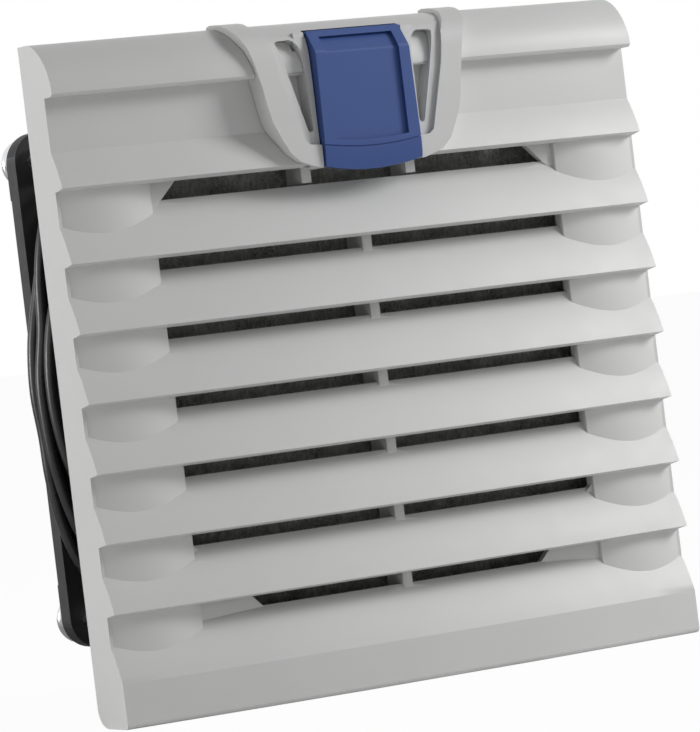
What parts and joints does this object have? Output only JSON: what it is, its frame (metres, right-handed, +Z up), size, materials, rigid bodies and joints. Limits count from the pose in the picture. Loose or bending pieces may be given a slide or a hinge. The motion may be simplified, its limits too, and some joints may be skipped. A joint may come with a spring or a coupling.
{
  "type": "enclosure filter fan",
  "caption": "Square louvred filter fan for an enclosure wall: hinged louvre grille with latch clip, filter mat, snap-in mounting frame and axial fan with finger guard.",
  "frame": {"origin": "middle of the bezel, on the front face of the panel that the unit is snapped into", "axes": "+X to the right as seen from the front, +Y into the enclosure along the fan's axis, +Z up"},
  "size_m": [0.1484, 0.0723, 0.1493],
  "materials": {
    "frame_plastic": "fine satin, light grey",
    "grille_plastic": "fine satin, light grey",
    "bracket_plastic": "fine satin, light grey",
    "clip_plastic": "satin blue",
    "filter_fibre": "loose bonded fibre",
    "seal_foam": "closed-cell foam",
    "fan_casting": "satin black paint on die-cast aluminium",
    "impeller_plastic": "satin black",
    "rotor_paint": "satin black",
    "core_steel": "stacked laminations",
    "winding_copper": "enamelled copper wire",
    "bearing_steel": "ground",
    "guard_chrome": "bright plated wire",
    "screw_steel": "zinc plated",
    "spacer_rubber": "matt",
    "lead_jacket": "smooth satin insulation"
  },
  "bodies": {
    "root": {"mounting_frame": "frame_plastic", "panel_seal": "seal_foam", "filter_mat": "filter_fibre", "hinge_pins": "screw_steel", "fan_frame": "fan_casting", "fan_screws": "screw_steel", "stator_core": "core_steel", "stator_windings": "winding_copper", "front_bearing": "bearing_steel", "rear_bearing": "bearing_steel", "finger_guard": "guard_chrome", "guard_screws": "screw_steel", "guard_nuts": "screw_steel", "guard_spacers": "spacer_rubber", "lead_grommet": "spacer_rubber", "lead_a": "lead_jacket", "lead_b": "lead_jacket", "lead_c": "lead_jacket", "lead_ferrules": "screw_steel"},
    "grille": {"louvre_grille": "grille_plastic", "latch_bracket": "bracket_plastic", "latch_pins": "screw_steel"},
    "latch": {"latch_clip": "clip_plastic", "latch_spring": "screw_steel"},
    "rotor": {"impeller": "impeller_plastic", "rotor_cup": "rotor_paint", "rotor_shaft": "bearing_steel", "shaft_circlip": "bearing_steel"}
  },
  "joints": [
    {"name": "grille_hinge", "type": "hinge", "parent": "root", "child": "grille", "pos_m": [0, -0.0046, -0.06985], "axis": [1, 0, 0], "range_deg": [0, 80]},
    {"name": "latch_pivot", "type": "hinge", "parent": "grille", "child": "latch", "pos_m": [0, -0.0152, 0.0693], "axis": [-1, 0, 0], "range_deg": [0, 25], "stiffness_Nm_per_rad": 0.05, "springref_deg": -11.46},
    {"name": "rotor_spin", "type": "hinge", "parent": "root", "child": "rotor", "pos_m": [0, 0.025, -0.0009], "axis": [0, 1, 0], "continuous": true}
  ]
}
